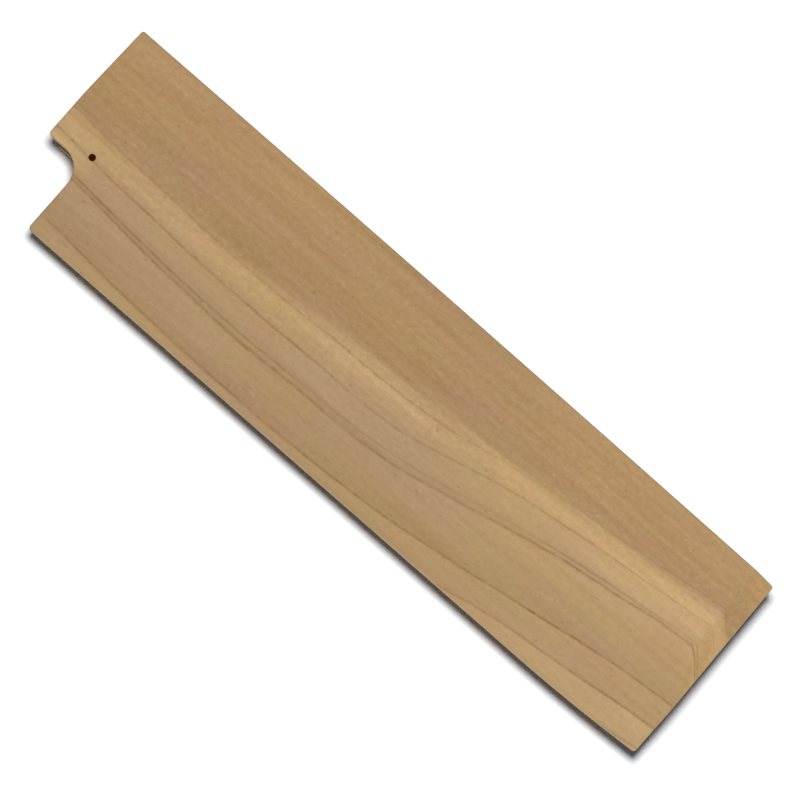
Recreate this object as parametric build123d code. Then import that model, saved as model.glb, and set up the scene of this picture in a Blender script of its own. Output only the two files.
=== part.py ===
from build123d import *
import os

# Wooden guard for a rectangular vegetable knife. X runs from the handle end to the tip,
# Y from the cutting edge to the spine, and Z from the back to the faceted front.
# All sizes are in millimetres, with the origin below the middle, on the back face.

# Outline
overall_length = 237.5
heel_width = 63.3
tip_width = 60.7
neck_width = 39.6
notch_setback = 13.35
notch_radius = 7.0
spine_bow = 0.35
edge_taper = 0.9
tip_curve_length = 40.5
open_corner_radius = 1.3
tip_corner_radius = 1.0
spine_corner_radius = 0.8

# Layers, from the back to the front
back_board_thickness = 4.5
slot_height = 5.0
front_board_thickness = 6.0

# Facets of the front
ridge_from_spine = 23.8
ridge_round = 40.0
edge_drop = 3.8
tip_bevel_run = 7.0
tip_bevel_drop = 2.2
tip_bevel_round = 2.0
arris_round = 0.5

# Walls round the blade pocket
spine_wall = 5.0
edge_wall = 7.0
tip_wall = 10.0

# Retaining pin and its hole
pin_past_heel_end = 0.55
pin_inside_neck = 3.1
pin_radius = 1.0
pin_thin_radius = 0.8
pin_stand = 0.8
pin_recess = 0.5
pin_clearance = 0.05
pin_end_round = 0.5

# How far a cutting body runs past what it cuts, and how steep a face has to be to count as a wall
overrun = 5.0
wall_lean_share = 0.5

total_thickness = back_board_thickness + slot_height + front_board_thickness
slot_top = back_board_thickness + slot_height
handle_x = -overall_length / 2
tip_x = overall_length / 2
heel_x = handle_x + notch_setback
bevel_x = tip_x - tip_bevel_run
pocket_end_x = tip_x - tip_wall
crest_y = (heel_width + spine_bow) / 2
spine_y = crest_y - spine_bow
edge_y = spine_y - heel_width
neck_y = spine_y - neck_width
ridge_y = spine_y - ridge_from_spine
tip_edge_y = spine_y - tip_width
facet_slope = edge_drop / (ridge_y - edge_y)
pin_x = heel_x + pin_past_heel_end
pin_y = neck_y + pin_inside_neck
outer_low = (handle_x - overrun, edge_y - overrun)
outer_high = (tip_x + overrun, crest_y + overrun)


def front_height(y):
    """Height of the front at a place across the guard, before any rounding."""
    return total_thickness - max(ridge_y - y, 0) * facet_slope


def round_corner(plan, x, y, radius):
    """Rounds the corner of a flat shape that lies nearest to a point."""
    corner = plan.vertices().sort_by_distance((x, y, 0))[0]
    return fillet(corner, radius)


def outline():
    """Plan shape of the guard, with the notch for the handle at its lower left corner."""
    curve_start = (tip_x - tip_curve_length, edge_y + edge_taper)
    spine = ThreePointArc((handle_x, spine_y), (0, crest_y), (tip_x, spine_y))
    tip_end = Line((tip_x, spine_y), (tip_x, tip_edge_y))
    edge_line = Line((heel_x, edge_y), curve_start)
    tip_curve = TangentArc(curve_start, (tip_x, tip_edge_y), tangent=edge_line % 1)
    heel_end = Line((heel_x, edge_y), (heel_x, neck_y))
    neck_line = Line((heel_x, neck_y), (handle_x, neck_y))
    handle_end = Line((handle_x, neck_y), (handle_x, spine_y))
    plan = make_face([spine, tip_end, tip_curve, edge_line, heel_end, neck_line, handle_end])
    plan = round_corner(plan, heel_x, neck_y, notch_radius)
    plan = round_corner(plan, handle_x, neck_y, open_corner_radius)
    plan = round_corner(plan, heel_x, edge_y, open_corner_radius)
    plan = round_corner(plan, tip_x, tip_edge_y, tip_corner_radius)
    plan = round_corner(plan, handle_x, spine_y, spine_corner_radius)
    plan = round_corner(plan, tip_x, spine_y, spine_corner_radius)
    return plan


def cross_section():
    """Section across the guard: a flat back, a flat upper front and a sloping lower front."""
    low_y = edge_y - overrun
    high_y = crest_y + overrun
    border = Polyline(
        (low_y, 0),
        (high_y, 0),
        (high_y, total_thickness),
        (ridge_y, total_thickness),
        (low_y, front_height(low_y)),
        close=True,
    )
    section = make_face(border)
    ridge = section.vertices().sort_by_distance((ridge_y, total_thickness, 0))[0]
    return Plane.YZ * fillet(ridge, ridge_round)


def tip_bevel_cutter():
    """Wedge that the bevel at the tip end takes off the front."""
    far_x = tip_x + overrun
    far_z = total_thickness - (far_x - bevel_x) * tip_bevel_drop / tip_bevel_run
    border = Polyline(
        (bevel_x, total_thickness),
        (far_x, far_z),
        (far_x, total_thickness + overrun),
        close=True,
    )
    return extrude(Plane.XZ * make_face(border), heel_width, both=True)


def block():
    """The whole guard as one body, with its arrises softened, before it is parted into its layers."""
    body = extrude(outline(), total_thickness)
    body &= extrude(cross_section(), overall_length, both=True)
    body -= tip_bevel_cutter()
    front = body.faces().filter_by(lambda face: face.normal_at().Z > wall_lean_share)
    bevel = front.sort_by_distance((tip_x, ridge_y, total_thickness))[0]
    other_facets = front.filter_by(lambda face: face != bevel)
    body = fillet(bevel.edges() & other_facets.edges(), tip_bevel_round)
    walls = body.faces().filter_by(lambda face: abs(face.normal_at().Z) < wall_lean_share)
    broad_faces = body.faces().filter_by(lambda face: abs(face.normal_at().Z) >= wall_lean_share)
    return fillet(walls.edges() & broad_faces.edges(), arris_round)


def slab(low, high):
    """A box between two opposite corners."""
    size = [top - bottom for bottom, top in zip(low, high)]
    return Pos(*low) * Box(*size, align=(Align.MIN, Align.MIN, Align.MIN))


def pin_hole():
    """The straight hole that is drilled through both boards for the pin."""
    height = total_thickness + overrun
    drill = Cylinder(pin_radius + pin_clearance, height, align=(Align.CENTER, Align.CENTER, Align.MIN))
    return Pos(pin_x, pin_y, 0) * drill


def front_board(whole):
    """The faceted board over the blade."""
    layer = slab((*outer_low, slot_top), (*outer_high, total_thickness + overrun))
    return (whole & layer) - pin_hole()


def back_board(whole):
    """The flat board that the guard lies on."""
    layer = slab((*outer_low, -overrun), (*outer_high, back_board_thickness))
    return (whole & layer) - pin_hole()


def tip_spacer(whole):
    """The strip that closes the pocket at the tip, as wide as the boards."""
    low = (pocket_end_x, edge_y - overrun, back_board_thickness)
    return whole & slab(low, (*outer_high, slot_top))


def spine_spacer(whole):
    """The strip along the spine, from the handle end to the tip strip."""
    low = (handle_x - overrun, spine_y - spine_wall, back_board_thickness)
    high = (pocket_end_x, crest_y + overrun, slot_top)
    return whole & slab(low, high)


def edge_spacer(whole):
    """The strip below the cutting edge, from the heel end to the tip strip."""
    low = (*outer_low, back_board_thickness)
    high = (pocket_end_x, edge_y + edge_wall, slot_top)
    return whole & slab(low, high)


def retaining_pin():
    """The slim tapered peg, which goes in from the front and stands a little proud of it."""
    length = front_height(pin_y) + pin_stand - pin_recess
    peg = Cone(pin_thin_radius, pin_radius, length, align=(Align.CENTER, Align.CENTER, Align.MIN))
    peg = fillet(peg.edges().filter_by(GeomType.CIRCLE), pin_end_round)
    return Pos(pin_x, pin_y, pin_recess) * peg


os.makedirs("parts", exist_ok=True)
whole_guard = block()
export_step(front_board(whole_guard), "parts/front_board.step")
export_step(back_board(whole_guard), "parts/back_board.step")
export_step(spine_spacer(whole_guard), "parts/spine_spacer.step")
export_step(edge_spacer(whole_guard), "parts/edge_spacer.step")
export_step(tip_spacer(whole_guard), "parts/tip_spacer.step")
export_step(retaining_pin(), "parts/retaining_pin.step")
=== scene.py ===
import math

import bpy
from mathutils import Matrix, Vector


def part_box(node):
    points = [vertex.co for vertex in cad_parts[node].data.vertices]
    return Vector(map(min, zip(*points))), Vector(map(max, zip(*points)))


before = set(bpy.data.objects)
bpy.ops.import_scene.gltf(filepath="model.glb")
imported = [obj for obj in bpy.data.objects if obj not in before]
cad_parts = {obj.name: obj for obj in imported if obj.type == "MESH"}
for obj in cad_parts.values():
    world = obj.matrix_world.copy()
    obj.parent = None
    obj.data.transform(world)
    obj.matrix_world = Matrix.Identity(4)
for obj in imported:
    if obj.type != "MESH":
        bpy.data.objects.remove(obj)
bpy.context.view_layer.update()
bpy.ops.object.select_all(action="DESELECT")


# Front board
# The faceted board over the blade: one piece of pale magnolia, sawn along the grain so that a few growth
# lines run its whole length. It is planed, sanded and left bare, and glued down on the three strips.

mm = 0.001
front_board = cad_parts["front_board"]
front_low, front_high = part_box("front_board")
length = (front_high.x - front_low.x) / mm

# The spine bows out by this much in its middle, past the line through its two ends
spine_bow = 0.35
spine_line = front_high.y / mm - spine_bow

# Growth lines on the front, each as points in millimetres: from the handle end, and from the spine
line_above_band = [
    (2, 29.1), (20, 29.8), (40, 30.4), (60, 31.0), (80, 30.8), (100, 29.9), (120, 29.3), (134, 28.1),
    (146, 26.3), (158, 24.1), (170, 22.0), (182, 20.3), (200, 18.2), (218, 15.7), (230, 14.2), (237, 20.1),
]
band_start = [
    (2, 29.6), (20, 30.1), (40, 30.8), (58, 30.6), (72, 29.0), (90, 27.6), (110, 26.2), (130, 24.8),
    (150, 23.3), (165, 21.9), (180, 20.6), (195, 19.3), (210, 17.8), (220, 16.6), (230, 15.2), (237, 19.5),
]
line_below_band = [
    (2, 36.4), (20, 37.5), (40, 38.3), (60, 38.75), (80, 38.7), (100, 38.2), (118, 37.8), (128, 37.0),
    (140, 34.7), (152, 31.8), (164, 29.1), (176, 27.2), (188, 25.5), (206, 23.3), (230, 20.4), (237, 25.1),
]
twin_line = [
    (16, 43.8), (34, 44.95), (52, 45.75), (70, 46.0), (88, 45.7), (106, 44.9), (120, 44.3), (136, 42.6),
    (150, 40.0), (166, 36.5), (178, 34.2), (190, 32.0), (202, 30.2), (214, 28.7), (223, 27.5), (230.5, 26.9),
    (232.2, 28.5), (237, 33.0),
]
main_line = [
    (16, 44.95), (28, 45.8), (46, 47.05), (64, 47.65), (78, 47.9), (94, 47.3), (112, 46.9), (124, 46.4),
    (136, 44.9), (148, 42.4), (160, 39.8), (172, 37.1), (184, 34.6), (196, 32.6), (208, 30.8), (216, 29.4),
    (224, 28.6), (230.2, 28.2), (232, 29.8), (237, 34.2),
]
fourth_line = [
    (16, 57.9), (34, 58.9), (52, 59.75), (70, 60.15), (94, 60.1), (112, 59.6), (124, 59.1), (136, 58.1),
    (148, 56.8), (160, 55.1), (172, 53.2), (184, 51.2), (196, 49.3), (208, 47.4), (220, 45.7), (237, 44.2),
]
fifth_line = [
    (2, 70.5), (100, 68.5), (140, 65.5), (156, 63.0), (166, 61.4), (176, 59.8), (186, 58.2), (198, 56.8),
    (210, 55.5), (222, 53.9), (237, 52.1),
]
sixth_line = [(2, 79.0), (100, 77.0), (180, 68.0), (205, 63.5), (220, 61.6), (230, 60.4), (237, 59.6)]

# How far the growth rings move towards the edge for each millimetre below the front
ring_lean = 3.2

# The range of places across the rings, in millimetres, that the curve of a growth line can take
ring_low = -30.0
ring_high = 90.0

# The front's height is read only beside the notch, short of the tip and above the edge
beside_notch = 15.0
short_of_tip = length - 1.0
above_edge = 60.0

# The share of the length past which a curve turns sharply, because a growth line comes onto the bevel
bevel_share = 0.965


def front_depth(along, across):
    """Height of the front board at a place, or at the nearest one on it, from its highest level."""
    along = min(max(along, beside_notch), short_of_tip)
    across = min(across, above_edge)
    above = (front_low.x + along * mm, (spine_line - across) * mm, 2 * front_high.z)
    hit, place = front_board.ray_cast(above, (0, 0, -1))[:2]
    if not hit:
        return 0.0
    return (place.z - front_high.z) / mm


def add_math(tree, operation, *values):
    """A Math node's result. Each value is a number, or an output to link."""
    node = tree.nodes.new("ShaderNodeMath")
    node.operation = operation
    for socket, value in zip(node.inputs, values):
        if isinstance(value, bpy.types.NodeSocket):
            tree.links.new(value, socket)
        else:
            socket.default_value = value
    return node.outputs["Value"]


def add_range(tree, value, start, end, low=0.0, high=1.0, smooth=True):
    """A value taken from one range to another, without leaving it."""
    node = tree.nodes.new("ShaderNodeMapRange")
    node.interpolation_type = "SMOOTHSTEP" if smooth else "LINEAR"
    settings = {"Value": value, "From Min": start, "From Max": end, "To Min": low, "To Max": high}
    for name, given in settings.items():
        if isinstance(given, bpy.types.NodeSocket):
            tree.links.new(given, node.inputs[name])
        else:
            node.inputs[name].default_value = given
    return node.outputs["Result"]


def add_curve(tree, factor, points):
    """A curve through points, given as pairs from 0 to 1 along. It turns sharply over the bevel."""
    node = tree.nodes.new("ShaderNodeFloatCurve")
    curve = node.mapping.curves[0]
    node.mapping.use_clip = False
    node.mapping.extend = "EXTRAPOLATED"
    curve.points[0].location = points[0]
    curve.points[1].location = points[-1]
    for point in points[1:-1]:
        curve.points.new(*point)
    for point in curve.points:
        if point.location.x > bevel_share:
            point.handle_type = "VECTOR"
    node.mapping.update()
    tree.links.new(factor, node.inputs["Value"])
    return node.outputs["Value"]


def add_noise(tree, vector, scale, detail=2.0, roughness=0.5):
    """A noise, from about 0.25 to 0.75, on a vector in millimetres that is first divided by the scale."""
    mapping = tree.nodes.new("ShaderNodeMapping")
    mapping.vector_type = "TEXTURE"
    mapping.inputs["Scale"].default_value = scale
    noise = tree.nodes.new("ShaderNodeTexNoise")
    noise.inputs["Scale"].default_value = 1.0
    noise.inputs["Detail"].default_value = detail
    noise.inputs["Roughness"].default_value = roughness
    tree.links.new(vector, mapping.inputs["Vector"])
    tree.links.new(mapping.outputs["Vector"], noise.inputs["Vector"])
    return noise.outputs["Fac"]


def add_ramp(tree, factor, stops):
    """A colour ramp, from pairs of a place and a colour or a grey value."""
    node = tree.nodes.new("ShaderNodeValToRGB")
    elements = node.color_ramp.elements
    elements.remove(elements[1])
    for index, (place, tone) in enumerate(stops):
        element = elements[0] if index == 0 else elements.new(place)
        element.position = place
        element.color = (*tone, 1) if isinstance(tone, tuple) else (tone, tone, tone, 1)
    tree.links.new(factor, node.inputs["Fac"])
    return node.outputs["Color"]


def add_mix(tree, factor, first, second, blend="MIX"):
    """Two colours mixed. Each is a colour, or an output to link."""
    node = tree.nodes.new("ShaderNodeMix")
    node.data_type = "RGBA"
    node.blend_type = blend
    for socket, value in ((node.inputs[0], factor), (node.inputs[6], first), (node.inputs[7], second)):
        if isinstance(value, bpy.types.NodeSocket):
            tree.links.new(value, socket)
        elif isinstance(value, tuple):
            socket.default_value = (*value, 1)
        else:
            socket.default_value = value
    return node.outputs[2]


def add_tint(tree, share, colour, cast):
    """A colour with a cast multiplied over it, as far as the share goes."""
    return add_mix(tree, share, colour, cast, "MULTIPLY")


def add_bump(tree, shader, relief, strength, depth):
    """Puts a relief of a given depth on a shader's normal."""
    bump = tree.nodes.new("ShaderNodeBump")
    bump.inputs["Strength"].default_value = strength
    bump.inputs["Distance"].default_value = depth
    tree.links.new(relief, bump.inputs["Height"])
    tree.links.new(bump.outputs["Normal"], shader.inputs["Normal"])


def paint(red, green, blue):
    """A colour as it is seen, from 0 to 255 a channel, as the linear values that a shader takes."""
    seen = [channel / 255 for channel in (red, green, blue)]
    return tuple(((value + 0.055) / 1.055) ** 2.4 for value in seen)


def new_group(name, inputs, outputs):
    """An empty shader node group, and the nodes that stand for its sockets."""
    tree = bpy.data.node_groups.new(name, "ShaderNodeTree")
    for socket, kind in inputs:
        tree.interface.new_socket(socket, in_out="INPUT", socket_type=kind)
    for socket, kind in outputs:
        tree.interface.new_socket(socket, in_out="OUTPUT", socket_type=kind)
    return tree, tree.nodes.new("NodeGroupInput").outputs, tree.nodes.new("NodeGroupOutput").inputs


def add_group(tree, group, **values):
    """A group placed in a material. Each value is a number, a vector, or an output to link."""
    node = tree.nodes.new("ShaderNodeGroup")
    node.node_tree = group
    for name, value in values.items():
        socket = node.inputs[name.replace("_", " ").capitalize()]
        if isinstance(value, bpy.types.NodeSocket):
            tree.links.new(value, socket)
        else:
            socket.default_value = value
    return node.outputs


def make_growth_line():
    """One growth line: a thin dark line that fades in from the spine side and stops short on the other."""
    tree, given, result = new_group(
        "growth_line",
        [("Across", "NodeSocketFloat"), ("Line", "NodeSocketFloat"), ("Width", "NodeSocketFloat")],
        [("Mask", "NodeSocketFloat")],
    )
    offset = add_math(tree, "SUBTRACT", given["Across"], given["Line"])
    share = add_math(tree, "DIVIDE", offset, given["Width"])
    rise = add_range(tree, share, -1.1, -0.1)
    fall = add_range(tree, share, 0.0, 0.8, low=1.0, high=0.0)
    tree.links.new(add_math(tree, "MULTIPLY", rise, fall), result["Mask"])
    return tree


def make_planed_grain():
    """Bare planed wood close up: long streaks, short dashes, soft patches, small flecks, fibres and pores."""
    tree, given, result = new_group(
        "planed_grain",
        [("Place", "NodeSocketVector")],
        [("Streak", "NodeSocketFloat"), ("Dash", "NodeSocketFloat"), ("Patch", "NodeSocketFloat"),
         ("Fleck", "NodeSocketFloat"), ("Fibre", "NodeSocketFloat"), ("Pore", "NodeSocketFloat")],
    )
    place = given["Place"]
    streak = add_noise(tree, place, (46.0, 1.9, 2.8), detail=3.0, roughness=0.38)
    dash = add_noise(tree, place, (8.0, 0.6, 0.6))
    patch = add_noise(tree, place, (1.9, 1.5, 1.5), detail=3.0, roughness=0.62)
    fleck = add_range(tree, add_noise(tree, place, (1.3, 0.9, 0.9), detail=0.0), 0.68, 0.82)
    fibre = add_noise(tree, place, (3.5, 0.3, 0.3), roughness=0.6)
    pore = add_range(tree, add_noise(tree, place, (1.7, 0.9, 0.9), detail=0.0), 0.72, 0.84)
    marks = {"Streak": streak, "Dash": dash, "Patch": patch, "Fleck": fleck, "Fibre": fibre, "Pore": pore}
    for name, mark in marks.items():
        tree.links.new(mark, result[name])
    return tree


def make_end_grain():
    """Where the wood is cut across: how far the surface faces along the grain, and the pores' round ends."""
    tree, given, result = new_group(
        "end_grain",
        [("Place", "NodeSocketVector"), ("Facing", "NodeSocketFloat")],
        [("Mask", "NodeSocketFloat"), ("Pore", "NodeSocketFloat")],
    )
    facing = add_math(tree, "ABSOLUTE", given["Facing"])
    tree.links.new(add_range(tree, facing, 0.35, 0.85), result["Mask"])
    speck = add_noise(tree, given["Place"], (2.0, 0.2, 0.2), detail=1.0)
    tree.links.new(add_range(tree, speck, 0.54, 0.66), result["Pore"])
    return tree


def make_soft_arris():
    """The sanded arrises, where a broad face turns into a wall: all of them, and the ones that hands hold."""
    tree, given, result = new_group(
        "soft_arris",
        [("Place", "NodeSocketVector"), ("Normal", "NodeSocketVector")],
        [("Arris", "NodeSocketFloat"), ("Held", "NodeSocketFloat")],
    )
    normal = tree.nodes.new("ShaderNodeSeparateXYZ")
    tree.links.new(given["Normal"], normal.inputs["Vector"])
    upright = add_math(tree, "ABSOLUTE", normal.outputs["Z"])
    off_wall = add_range(tree, upright, 0.05, 0.3)
    off_face = add_range(tree, upright, 0.82, 0.945, low=1.0, high=0.0)
    arris = add_math(tree, "MULTIPLY", off_wall, off_face)
    broken = add_noise(tree, given["Place"], (7.0, 7.0, 7.0))
    worn = add_math(tree, "MULTIPLY", arris, add_range(tree, broken, 0.3, 0.6, low=0.45, high=1.0))
    tree.links.new(worn, result["Arris"])
    towards_hand = add_math(tree, "SUBTRACT", normal.outputs["Y"], normal.outputs["X"])
    tree.links.new(add_range(tree, towards_hand, -0.1, 0.3), result["Held"])
    return tree


def make_glue_joint():
    """The hair line of old glue that shows on a wall where two layers meet, at a height in millimetres."""
    tree, given, result = new_group(
        "glue_joint",
        [("Height", "NodeSocketFloat"), ("Joint", "NodeSocketFloat"), ("Normal", "NodeSocketVector")],
        [("Mask", "NodeSocketFloat")],
    )
    normal = tree.nodes.new("ShaderNodeSeparateXYZ")
    tree.links.new(given["Normal"], normal.inputs["Vector"])
    wall = add_range(tree, add_math(tree, "ABSOLUTE", normal.outputs["Z"]), 0.1, 0.4, low=1.0, high=0.0)
    apart = add_math(tree, "ABSOLUTE", add_math(tree, "SUBTRACT", given["Height"], given["Joint"]))
    line = add_range(tree, apart, 0.03, 0.2, low=1.0, high=0.0)
    tree.links.new(add_math(tree, "MULTIPLY", wall, line), result["Mask"])
    return tree


growth_line = make_growth_line()
planed_grain = make_planed_grain()
end_grain = make_end_grain()
soft_arris = make_soft_arris()
glue_joint = make_glue_joint()


def new_wood(name, origin, scale, turn=0.0):
    """A material with its place in millimetres: along the grain, across it, and up from a face."""
    material = bpy.data.materials.new(name)
    material.use_nodes = True
    tree = material.node_tree
    source = tree.nodes.new("ShaderNodeTexCoord")
    mapping = tree.nodes.new("ShaderNodeMapping")
    mapping.inputs["Scale"].default_value = [share / mm for share in scale]
    mapping.inputs["Rotation"].default_value = (0, 0, turn)
    mapping.inputs["Location"].default_value = origin
    tree.links.new(source.outputs["Object"], mapping.inputs["Vector"])
    return material, mapping.outputs["Vector"]


def part_vector(tree, vector):
    """The three numbers of a vector."""
    node = tree.nodes.new("ShaderNodeSeparateXYZ")
    tree.links.new(vector, node.inputs["Vector"])
    return node.outputs["X"], node.outputs["Y"], node.outputs["Z"]


def add_share(tree, value, noise, amount):
    """A value with a noise added, which varies about a half and is scaled to an amount."""
    return add_math(tree, "MULTIPLY_ADD", add_math(tree, "SUBTRACT", noise, 0.5), amount, value)


# How strongly the rings wander from their course, over long and over short stretches of the wood
long_wander = 0.5
short_wander = 0.2

# The first ring starts here, just beyond the spine
first_ring_start = -2.0


def ring_coordinate(tree, place):
    """Millimetres across the growth rings, which lean over in the depth of the wood and wander a little."""
    across, depth = part_vector(tree, place)[1:]
    rings = add_math(tree, "MULTIPLY_ADD", depth, ring_lean, across)
    rings = add_share(tree, rings, add_noise(tree, place, (18.0, 22.0, 22.0)), long_wander)
    return add_share(tree, rings, add_noise(tree, place, (2.6, 3.0, 3.0), detail=1.0), short_wander)


def ring_place(along, across, face_depth):
    """Where a growth line crosses, as the shares of the length and of the rings' range that a curve takes."""
    ring = across + ring_lean * face_depth(along, across)
    return along / length, (ring - ring_low) / (ring_high - ring_low)


def ring_curve(tree, along_share, points, face_depth):
    """A growth line's course over the guard's length, in millimetres across the rings."""
    shares = add_curve(tree, along_share, [ring_place(*point, face_depth) for point in points])
    return add_math(tree, "MULTIPLY_ADD", shares, ring_high - ring_low, ring_low)


def count_rings(tree, rings, courses):
    """How many rings lie before a place, with its share of the ring that it lies in, over all of them."""
    limits = [first_ring_start] + courses + [ring_high]
    number = 0.0
    for near, far in zip(limits, limits[1:]):
        number = add_math(tree, "ADD", add_range(tree, rings, near, far, smooth=False), number)
    return add_math(tree, "DIVIDE", number, len(courses) + 1.0)


# A growth line is uneven on its way: how strong its faintest and its strongest bits are
faint_bit = 0.5
strong_bit = 1.45


def draw_lines(tree, place, rings, along_share, drawn_lines, face_depth):
    """The thin dark growth lines together, as one mask."""
    lines = 0.0
    for points, width, strengths in drawn_lines:
        course = ring_curve(tree, along_share, points, face_depth)
        mask = add_group(tree, growth_line, across=rings, line=course, width=width)["Mask"]
        lines = add_math(tree, "MULTIPLY_ADD", mask, add_curve(tree, along_share, strengths), lines)
    uneven = add_noise(tree, place, (2.6, 1.6, 1.6), detail=3.0, roughness=0.65)
    strength = add_range(tree, uneven, 0.32, 0.68, low=faint_bit, high=strong_bit, smooth=False)
    return add_math(tree, "MULTIPLY", lines, strength)


# The wood's colours, from the darkest growth line to the palest band, by a tone from 0 to 1
wood_tones = [
    (0.0, paint(138, 105, 64)), (0.3, paint(161, 128, 88)), (0.55, paint(177, 144, 103)),
    (0.75, paint(191, 157, 110)), (1.0, paint(210, 172, 120)),
]

# How strongly each kind of fine grain varies the tone, and how far flecks, pores and lines move it
grain_strengths = {"Streak": 0.41, "Dash": 0.11, "Patch": 0.54, "Fibre": 0.02}
fleck_shift = 0.12
pore_shift = -0.16
line_shift = -0.36

# Fine grain and lines are greyer than the tones: their casts where they move the tone furthest, either way
dark_cast = (1.02, 1.0, 0.86)
pale_cast = (0.98, 1.0, 1.14)
furthest_shift = 0.4

# How the colour drifts: the size of a patch in millimetres, and the two casts that it lies between
casts = [
    ((5.0, 3.6, 3.6), (1.0, 0.993, 1.01), (1.0, 1.007, 0.99)),
    ((18.0, 6.0, 6.0), (1.006, 0.988, 1.0), (0.994, 1.012, 1.0)),
    ((50.0, 12.0, 12.0), (1.0, 1.0, 1.055), (1.0, 1.0, 0.95)),
]

# Worked and worn places: the colours that they take on, and the casts that darken or warm the wood; and a
# pale colour painted on as light, for a wall that lies in shade
warm_cast = (0.975, 0.935, 0.85)
notch_painted_light_colour = paint(226, 196, 148)
cut_end_cast = (0.80, 0.76, 0.70)
cut_end_pore = paint(120, 90, 56)
held_cast = (0.72, 0.67, 0.60)
rubbed_wood = paint(216, 194, 158)
rubbed_share = 0.8
old_glue = paint(112, 80, 46)
joint_heights = [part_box("back_board")[1].z / mm, front_low.z / mm]

# The planed surface: its roughness from patch to patch, and how pores and lines stand in its fibres
least_rough = 0.7
most_rough = 0.82
bare_wood_gloss = 0.3
pore_relief = -0.8
line_relief = 0.5
relief_strength = 0.35
relief_depth = 0.03 * mm


def tone_rings(tree, ring_share, rings):
    """The tone over the rings, from each ring's tones after its first line, half way, and before the next."""
    after_line, half_way, before_next = 0.07, 0.5, 0.95
    stops = []
    for number, tones in enumerate(rings):
        for part, tone in zip((after_line, half_way, before_next), tones):
            stops.append(((number + part) / len(rings), tone))
    return add_ramp(tree, ring_share, stops)


def colour_grain(tree, grain, tone, lines, figure):
    """The colour of planed wood, from its tone, its fine grain and its growth lines."""
    mottle = 0.0
    for name, strength in grain_strengths.items():
        mottle = add_share(tree, mottle, grain[name], strength)
    mottle = add_math(tree, "MULTIPLY_ADD", grain["Fleck"], fleck_shift, mottle)
    detail = add_math(tree, "MULTIPLY", mottle, figure)
    detail = add_math(tree, "MULTIPLY_ADD", grain["Pore"], pore_shift, detail)
    detail = add_math(tree, "MULTIPLY_ADD", lines, line_shift, detail)
    colour = add_ramp(tree, add_math(tree, "ADD", tone, detail), wood_tones)
    paleness = add_range(tree, detail, -furthest_shift, furthest_shift, smooth=False)
    return add_tint(tree, 1.0, colour, add_mix(tree, paleness, dark_cast, pale_cast))


def drift_colour(tree, place, colour):
    """The wood's colour as it drifts between two casts, in patches of each size."""
    for size, one_way, other_way in casts:
        patches = add_noise(tree, place, size, detail=0.0)
        colour = add_tint(tree, 1.0, colour, add_ramp(tree, patches, [(0.34, one_way), (0.66, other_way)]))
    return colour


def colour_cut_ends(tree, place, facing, colour):
    """The wood's colour with the end grain, wherever the wood is cut across."""
    ends = add_group(tree, end_grain, place=place, facing=facing)
    end_colour = add_tint(tree, 1.0, colour, cut_end_cast)
    end_colour = add_mix(tree, ends["Pore"], end_colour, cut_end_pore)
    return add_mix(tree, ends["Mask"], colour, end_colour)


def colour_arrises(tree, place, normal, colour, rubbed):
    """The wood's colour with its arrises rubbed pale, or darkened where hands hold the guard."""
    arris = add_group(tree, soft_arris, place=place, normal=normal)
    held_colour = add_tint(tree, 1.0, colour, held_cast)
    rubbed_colour = add_mix(tree, rubbed_share, colour, rubbed_wood)
    arris_colour = add_mix(tree, arris["Held"], rubbed_colour, held_colour)
    return add_mix(tree, add_math(tree, "MULTIPLY", arris["Arris"], rubbed), colour, arris_colour)


def colour_joints(tree, height, normal, colour):
    """The wood's colour with a line of old glue at each of the two joints between the layers."""
    for joint in joint_heights:
        glue = add_group(tree, glue_joint, height=height, joint=joint, normal=normal)
        colour = add_mix(tree, glue["Mask"], colour, old_glue)
    return colour


def plane_surface(tree, shader, grain, lines):
    """Gives a shader the feel of planed bare wood, with pores and lines in relief."""
    rough = add_range(tree, grain["Patch"], 0.3, 0.7, low=least_rough, high=most_rough, smooth=False)
    tree.links.new(rough, shader.inputs["Roughness"])
    shader.inputs["Specular IOR Level"].default_value = bare_wood_gloss
    relief = add_math(tree, "MULTIPLY_ADD", grain["Pore"], pore_relief, grain["Fibre"])
    relief = add_math(tree, "MULTIPLY_ADD", lines, line_relief, relief)
    add_bump(tree, shader, relief, relief_strength, relief_depth)


def finish_wood(material, place, tone, lines, warmth, figure, facing_axis="X", painted_light_mask=0.0, rubbed=1.0):
    """Puts the grain, cut ends, arrises, glue lines and planed surface on a wood that has its tone."""
    tree = material.node_tree
    shader = tree.nodes["Principled BSDF"]
    source = tree.nodes.new("ShaderNodeTexCoord")
    normal = source.outputs["Normal"]
    facing = dict(zip("XYZ", part_vector(tree, normal)))[facing_axis]
    height = add_math(tree, "DIVIDE", part_vector(tree, source.outputs["Object"])[2], mm)
    grain = add_group(tree, planed_grain, place=place)
    colour = colour_grain(tree, grain, tone, lines, figure)
    colour = add_tint(tree, warmth, colour, warm_cast)
    colour = drift_colour(tree, place, colour)
    # Painted light: a pale colour, where it is given, on a wall that lies in shade
    colour = add_mix(tree, painted_light_mask, colour, notch_painted_light_colour)
    colour = colour_cut_ends(tree, place, facing, colour)
    colour = colour_arrises(tree, place, normal, colour, rubbed)
    colour = colour_joints(tree, height, normal, colour)
    tree.links.new(colour, shader.inputs["Base Color"])
    plane_surface(tree, shader, grain, lines)


def mask_notch_wall(tree, along, strength):
    """The wall of the notch that faces the edge, as a mask up to a given strength."""
    towards_spine = part_vector(tree, tree.nodes.new("ShaderNodeTexCoord").outputs["Normal"])[1]
    in_notch = add_range(tree, along, beside_notch - 2.0, beside_notch, low=1.0, high=0.0)
    facing_edge = add_range(tree, towards_spine, -0.9, -0.6, low=strength, high=0.0)
    return add_math(tree, "MULTIPLY", in_notch, facing_edge)


def dress(node_name, material):
    """Gives a piece its material."""
    for material_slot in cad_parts[node_name].material_slots:
        material_slot.material = material


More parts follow.
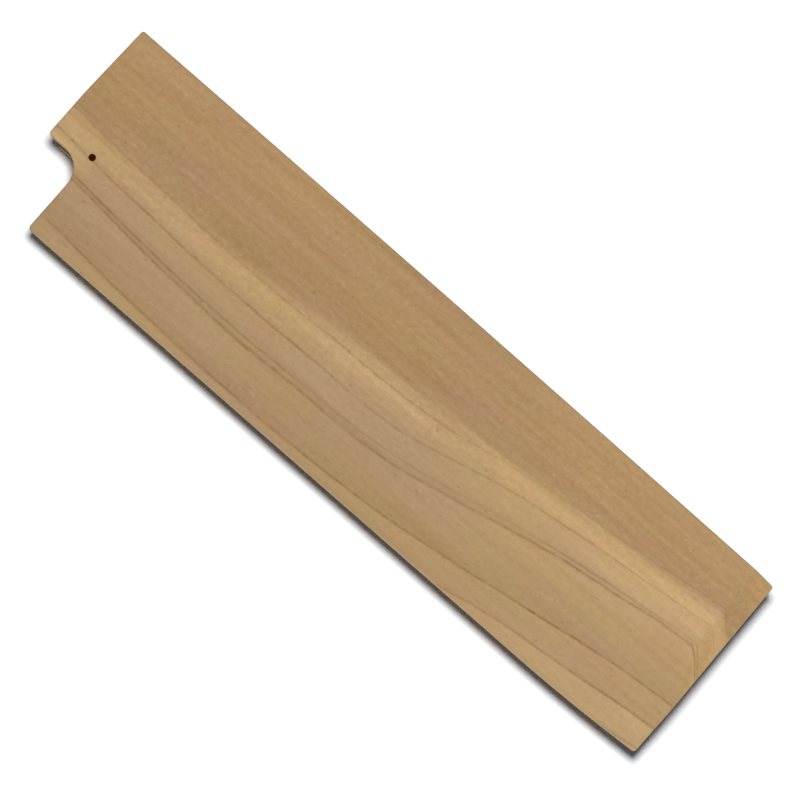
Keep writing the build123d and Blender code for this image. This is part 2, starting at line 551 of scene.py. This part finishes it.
front_wood, place = new_wood("front_wood", (length / 2, spine_line, -front_high.z / mm), (1, -1, 1))
tree = front_wood.node_tree
along = part_vector(tree, place)[0]
along_share = add_math(tree, "DIVIDE", along, length)
rings = ring_coordinate(tree, place)

# Each ring runs from one of these courses to the next; the tone goes by how far across it a place lies
ring_courses = [band_start, line_below_band, main_line, fourth_line, fifth_line, sixth_line]
ring_count = len(ring_courses) + 1
courses = [ring_curve(tree, along_share, points, front_depth) for points in ring_courses]
ring_share = count_rings(tree, rings, courses)

# Each ring's tones after its first line, half way across it, and before the next line
handle_rings = [
    (0.56, 0.51, 0.43), (0.65, 0.71, 0.54), (0.53, 0.54, 0.41), (0.53, 0.48, 0.39), (0.54, 0.50, 0.48),
    (0.48, 0.48, 0.48), (0.48, 0.48, 0.48),
]
tip_rings = [
    (0.65, 0.58, 0.52), (0.73, 0.88, 0.98), (0.88, 0.87, 0.72), (0.79, 0.62, 0.53), (0.64, 0.61, 0.59),
    (0.80, 0.76, 0.70), (0.78, 0.78, 0.78),
]
handle_tone = tone_rings(tree, ring_share, handle_rings)
tip_tone = tone_rings(tree, ring_share, tip_rings)

# Where along the guard the handle end's tones start to turn into the tip's, and where they have
turn_start = 115.0
turn_end = 235.0
tone = add_mix(tree, add_range(tree, along, turn_start, turn_end), handle_tone, tip_tone)

# Faint streaks: middle along and across, half length, half width, and how much darker (or paler, below 0)
streaks = [
    (58, 13.5, 18, 1.3, 0.06), (84, 13.3, 10, 1.2, 0.06), (104, 12.2, 13, 1.4, 0.06),
    (121, 6.8, 9, 1.5, 0.09), (150, 7.4, 22, 3.2, 0.12), (197, 9.8, 20, 1.4, 0.06),
    (27, 21.2, 14, 1.5, 0.06), (74, 22.4, 26, 1.6, 0.06), (103, 21.0, 15, 1.9, 0.08),
    (129, 19.8, 20, 2.0, 0.10), (100, 1.2, 42, 2.6, 0.14), (142, 1.0, 22, 2.2, 0.10),
    (188, 12.5, 26, 3.4, -0.09), (4, 34.8, 14, 4.2, -0.34), (28, 9.0, 18, 3.0, 0.05),
    (12, 4.2, 24, 2.4, -0.10), (68, 15.4, 26, 1.8, -0.09), (54, 30.2, 30, 1.5, -0.14),
    (112, 28.8, 36, 2.2, -0.11), (163, 26.3, 18, 2.4, -0.13), (234, 22.5, 5, 4.6, 0.22),
    (217, 46.0, 14, 2.8, 0.14), (189, 29.1, 26, 2.6, 0.10),
]
ring_vector = tree.nodes.new("ShaderNodeCombineXYZ")
tree.links.new(along, ring_vector.inputs["X"])
tree.links.new(rings, ring_vector.inputs["Y"])
for middle, across, half_length, half_width, strength in streaks:
    spot = tree.nodes.new("ShaderNodeMapping")
    spot.vector_type = "TEXTURE"
    spot.inputs["Location"].default_value = (middle, across, 0)
    spot.inputs["Scale"].default_value = (half_length, half_width, 1)
    glow = tree.nodes.new("ShaderNodeTexGradient")
    glow.gradient_type = "SPHERICAL"
    tree.links.new(ring_vector.outputs["Vector"], spot.inputs["Vector"])
    tree.links.new(spot.outputs["Vector"], glow.inputs["Vector"])
    tone = add_math(tree, "MULTIPLY_ADD", glow.outputs["Fac"], -strength, tone)

# The thin lines: course, width in millimetres, and their strength at places along, as shares of the length
front_lines = [
    (line_above_band, 0.42, [
        (0, 0.4), (0.05, 0.36), (0.1, 0.48), (0.2, 0.32), (0.3, 0.36), (0.4, 0.62), (0.48, 0.85),
        (0.62, 0.35), (0.75, 0.3), (0.9, 0.42), (1, 0.4),
    ]),
    (line_below_band, 0.46, [
        (0, 0.7), (0.09, 0.6), (0.17, 0.88), (0.25, 0.52), (0.37, 1.0), (0.45, 0.42), (0.5, 0.52),
        (0.6, 0.55), (0.71, 0.56), (0.84, 0.86), (0.92, 0.54), (1, 0.7),
    ]),
    (twin_line, 0.46, [
        (0, 0.95), (0.1, 0.82), (0.17, 0.76), (0.3, 0.7), (0.37, 0.68), (0.44, 0.2), (0.51, 0.48),
        (0.58, 0.3), (0.64, 0.36), (0.7, 0.18), (0.77, 0.66), (0.84, 0.78), (0.9, 0.5), (0.95, 0.42),
        (0.975, 1.0), (1, 0.8),
    ]),
    (main_line, 0.48, [
        (0, 0.55), (0.15, 0.62), (0.25, 0.57), (0.3, 0.55), (0.37, 0.75), (0.47, 0.5), (0.487, 0.22),
        (0.505, 0.47), (0.57, 0.64), (0.64, 0.58), (0.74, 0.72), (0.84, 0.9), (0.94, 0.8), (0.975, 1.2),
        (1, 0.8),
    ]),
    (fourth_line, 0.46, [
        (0, 0.1), (0.06, 0.3), (0.1, 0.66), (0.17, 0.6), (0.27, 0.46), (0.35, 0.74), (0.43, 0.54), (0.5, 0.8),
        (0.57, 0.66), (0.62, 0.8), (0.7, 0.66), (0.78, 1.02), (0.84, 1.25), (0.92, 0.74), (1, 1.0),
    ]),
    (fifth_line, 0.46, [(0, 0.4), (0.72, 0.5), (0.78, 0.6), (0.84, 0.66), (0.91, 1.0), (1, 0.9)]),
    (sixth_line, 0.46, [(0, 0.5), (1, 0.8)]),
]
lines = draw_lines(tree, place, rings, along_share, front_lines, front_depth)

# The notch's wall that faces the edge is painted darker: painted shade, where that wall lies in shade
notch_wall_painted_shade = -0.25
tone = add_math(tree, "MULTIPLY_ADD", mask_notch_wall(tree, along, 1.0), notch_wall_painted_shade, tone)

# The bevel is painted paler, as painted light that makes up for the lamp lighting its slant less; it is
# also warmer, where more of the grain's ends show
bevel_painted_light = 0.14
bevel_warmth = 0.4
towards_end = part_vector(tree, tree.nodes.new("ShaderNodeTexCoord").outputs["Normal"])[0]
bevel = add_range(tree, towards_end, 0.12, 0.28)
tone = add_math(tree, "MULTIPLY_ADD", bevel, bevel_painted_light, tone)

# The wood along the spine is warmer, up to the pale band, and below the band the fine grain grows quieter
warm_until = 0.6 / ring_count
plain_from = 1.6 / ring_count
quiet_from = 2.3 / ring_count
quiet_figure = 0.64
spine_warmth = add_range(tree, ring_share, warm_until, plain_from, low=1.0, high=0.0)
figure = add_range(tree, ring_share, plain_from, quiet_from, low=1.0, high=quiet_figure)

# The arrises at the handle end are worn less than the others, because the knife's handle covers them
handle_end_wear = 0.45
rubbed = add_range(tree, along, beside_notch - 1.0, beside_notch + 3.0, low=handle_end_wear, high=1.0)
warmth = add_math(tree, "MULTIPLY_ADD", bevel, bevel_warmth, spine_warmth)
finish_wood(front_wood, place, tone, lines, warmth, figure, rubbed=rubbed)
dress("front_board", front_wood)


# Back board
# The flat board that the guard lies on, sawn off the same block, so that its growth lines lean the other
# way. It is planed flat, and its arrises are sanded like those of the front.

# Its thin lines, each with its course, its width and its strength at places along, like those of the front
back_lines = [
    ([(0, 8), (60, 6), (120, 7.5), (180, 12), (237, 14)], 0.4, [(0, 0.5), (0.6, 0.3), (1, 0.6)]),
    ([(0, 18.5), (50, 16), (110, 17), (160, 21.5), (237, 25)], 0.5, [(0, 0.9), (0.4, 1.0), (1, 0.8)]),
    ([(0, 20.4), (60, 18), (120, 19), (180, 24.8), (237, 27.6)], 0.4,
     [(0, 0.6), (0.35, 0.3), (0.6, 0), (1, 0.6)]),
    ([(0, 33), (60, 30.5), (120, 32), (170, 37), (237, 41.5)], 0.46, [(0, 0.7), (0.5, 1.0), (1, 0.9)]),
    ([(0, 46), (60, 43), (120, 44), (180, 50.5), (237, 54)], 0.46, [(0, 1.0), (0.5, 0.8), (1, 1.0)]),
    ([(0, 61), (60, 57.5), (120, 58), (180, 64), (237, 69)], 0.42, [(0, 0.8), (0.5, 0.6), (1, 0.9)]),
]
back_tones = [(0.0, 0.48), (0.25, 0.58), (0.5, 0.52), (0.85, 0.44), (1.0, 0.40)]


def flat_face(along, across):
    """The depth of a flat face: none, wherever a line crosses it."""
    return 0.0


back_wood, place = new_wood("back_wood", (length / 2, spine_line, 0), (1, -1, -1))
tree = back_wood.node_tree
along = part_vector(tree, place)[0]
along_share = add_math(tree, "DIVIDE", along, length)
rings = ring_coordinate(tree, place)
courses = [ring_curve(tree, along_share, points, flat_face) for points, width, strengths in back_lines]
ring_share = count_rings(tree, rings, courses)
ring_part = add_math(tree, "FRACT", add_math(tree, "MULTIPLY", ring_share, len(back_lines) + 1.0))
tone = add_ramp(tree, ring_part, back_tones)
lines = draw_lines(tree, place, rings, along_share, back_lines, flat_face)

# Its notch's wall that faces the edge is painted pale: painted light on a wall that lies in the front board's
# shade
notch_painted_light_strength = 0.88
notch_wall = mask_notch_wall(tree, along, notch_painted_light_strength)
finish_wood(back_wood, place, tone, lines, warmth=0.5, figure=0.85, painted_light_mask=notch_wall)
dress("back_board", back_wood)


# Spacer strips
# The three strips between the boards, which make room for the blade: long ones under the spine and under
# the cutting edge, and one across the tip. They are offcuts of the same wood, with the grain lengthwise.

strip_ring_spacing = 3.1
strip_ring_lean = 0.35
strip_ring_wander = 6.0
strip_tones = [(0.0, 0.60), (0.3, 0.56), (0.8, 0.45), (0.9, 0.27), (0.96, 0.36), (1.0, 0.60)]


def make_strip_wood(name, turn, facing_axis):
    """The wood of a strip whose grain lies along X, or along Y where it is turned."""
    material, place = new_wood(name, (0, 0, 0), (1, 1, 1), turn)
    tree = material.node_tree
    across, height = part_vector(tree, place)[1:]
    rings = add_math(tree, "MULTIPLY_ADD", across, strip_ring_lean, height)
    rings = add_share(tree, rings, add_noise(tree, place, (60.0, 20.0, 20.0)), strip_ring_wander)
    ring_part = add_math(tree, "FRACT", add_math(tree, "DIVIDE", rings, strip_ring_spacing))
    tone = add_ramp(tree, ring_part, strip_tones)
    finish_wood(material, place, tone, lines=0.0, warmth=0.5, figure=0.8, facing_axis=facing_axis)
    return material


long_strip_wood = make_strip_wood("long_strip_wood", 0.0, "X")
tip_strip_wood = make_strip_wood("tip_strip_wood", math.radians(90), "Y")
dress("spine_spacer", long_strip_wood)
dress("edge_spacer", long_strip_wood)
dress("tip_spacer", tip_strip_wood)


# Retaining pin
# A slim peg of dark hardwood that keeps the knife in its guard. It is turned with a slight taper, cut
# across at both ends and rubbed smooth by use. Its cut end is painted shade, as dark as the inside of
# an empty pin hole.

side_tones = [(0.3, paint(40, 17, 5)), (0.7, paint(80, 40, 14))]
# The cut end's tones are painted shade, as dark as the inside of an empty pin hole
pin_end_painted_hole_shade = [(0.35, paint(32, 10, 0)), (0.7, paint(58, 26, 3))]
pin_least_rough = 0.55
pin_most_rough = 0.7
pin_gloss = 0.02
pin_relief_strength = 0.4
pin_relief_depth = 0.02 * mm
pin_wood, place = new_wood("pin_hardwood", (0, 0, 0), (1, 1, 1))
tree = pin_wood.node_tree
shader = tree.nodes["Principled BSDF"]
upwards = part_vector(tree, tree.nodes.new("ShaderNodeTexCoord").outputs["Normal"])[2]
cut_end = add_range(tree, add_math(tree, "ABSOLUTE", upwards), 0.6, 0.95)
streak = add_noise(tree, place, (0.22, 0.22, 5.0))
speck = add_noise(tree, place, (0.12, 0.12, 1.0), detail=1.0)
side_colour = add_ramp(tree, streak, side_tones)
end_colour = add_ramp(tree, speck, pin_end_painted_hole_shade)
tree.links.new(add_mix(tree, cut_end, side_colour, end_colour), shader.inputs["Base Color"])
rough = add_range(tree, streak, 0.3, 0.7, low=pin_least_rough, high=pin_most_rough, smooth=False)
tree.links.new(rough, shader.inputs["Roughness"])
shader.inputs["Specular IOR Level"].default_value = pin_gloss
add_bump(tree, shader, streak, pin_relief_strength, pin_relief_depth)
dress("retaining_pin", pin_wood)


# Floor
# A plain white table under the guard. It shows white to the camera and keeps the guard's shadow, and it
# throws back the light of an ordinary pale table top.

floor_size = 6.0
floor_drop = 0.05 * mm
table_white = (0.8, 0.8, 0.8)
seen_white = (1.03, 1.04, 1.06)


def seen_as_background(tree):
    """One for the rays that show what lies behind the guard: direct, in a shine, or through glass."""
    rays = tree.nodes.new("ShaderNodeLightPath")
    seen = add_math(tree, "MAXIMUM", rays.outputs["Is Camera Ray"], rays.outputs["Is Glossy Ray"])
    return add_math(tree, "MAXIMUM", seen, rays.outputs["Is Transmission Ray"])


bpy.ops.mesh.primitive_plane_add(size=floor_size, location=(0, 0, -floor_drop))
floor = bpy.context.object
floor.name = "floor"
bpy.ops.object.transform_apply(location=True)
table = bpy.data.materials.new("table")
table.use_nodes = True
tree = table.node_tree
tree.nodes.remove(tree.nodes["Principled BSDF"])
top = tree.nodes.new("ShaderNodeBsdfDiffuse")
white = add_mix(tree, seen_as_background(tree), table_white, seen_white)
tree.links.new(white, top.inputs["Color"])
tree.links.new(top.outputs["BSDF"], tree.nodes["Material Output"].inputs["Surface"])
floor.data.materials.append(table)


# Camera
# It looks down on the front from nearly straight above, with the guard lying aslant in the picture and
# the handle end at its upper left.

camera_place = (0.0102, -0.0359, 0.3846)
camera_turn = (math.radians(4.823), math.radians(-3.162), math.radians(41.326))
camera_lens = 59.84
camera_sensor = 36.0
bpy.ops.object.camera_add(location=camera_place)
camera = bpy.context.object
camera.name = "camera"
camera.rotation_euler = camera_turn
camera.data.lens = camera_lens
camera.data.sensor_width = camera_sensor
camera.data.clip_start = 0.01
bpy.context.scene.camera = camera
bpy.context.scene.view_settings.view_transform = "Standard"


# Light
# A round soft lamp hangs beside the camera, a little towards the top of the picture, so that the shadow
# lies just below the guard. It lights the whole table evenly, and the room adds a little from all round.

key_share = 0.91
room_share = 0.06
room_colour = (0.86, 1.0, 1.18)
seen_room = (1, 1, 1)
key_beside_camera = Vector((-0.039, 0.069, -0.028))
key_radius = 0.042

# The power at which a point lamp of constant strength lights a white surface to full white
full_power = 4 * math.pi ** 2

bpy.ops.object.light_add(type="POINT", location=camera.location + key_beside_camera)
key = bpy.context.object
key.name = "key_lamp"
key.visible_camera = False
key.data.energy = key_share * full_power
key.data.shadow_soft_size = key_radius
key.data.use_nodes = True
tree = key.data.node_tree
falloff = tree.nodes.new("ShaderNodeLightFalloff")
falloff.inputs["Strength"].default_value = 1.0
rays = tree.nodes.new("ShaderNodeLightPath")

# The lamp grows stronger with the distance, as much as its light gets more slanting, so all is lit evenly
lamp_height = key.location.z - front_high.z
slant = add_math(tree, "DIVIDE", rays.outputs["Ray Length"], lamp_height)
even = add_math(tree, "MULTIPLY", falloff.outputs["Constant"], slant)
tree.links.new(even, tree.nodes["Emission"].inputs["Strength"])

world = bpy.data.worlds.new("studio")
bpy.context.scene.world = world
world.use_nodes = True
tree = world.node_tree
room = tree.nodes["Background"]
seen = seen_as_background(tree)
strength = add_range(tree, seen, 0.0, 1.0, low=room_share, high=1.0, smooth=False)
tree.links.new(add_mix(tree, seen, room_colour, seen_room), room.inputs["Color"])
tree.links.new(strength, room.inputs["Strength"])
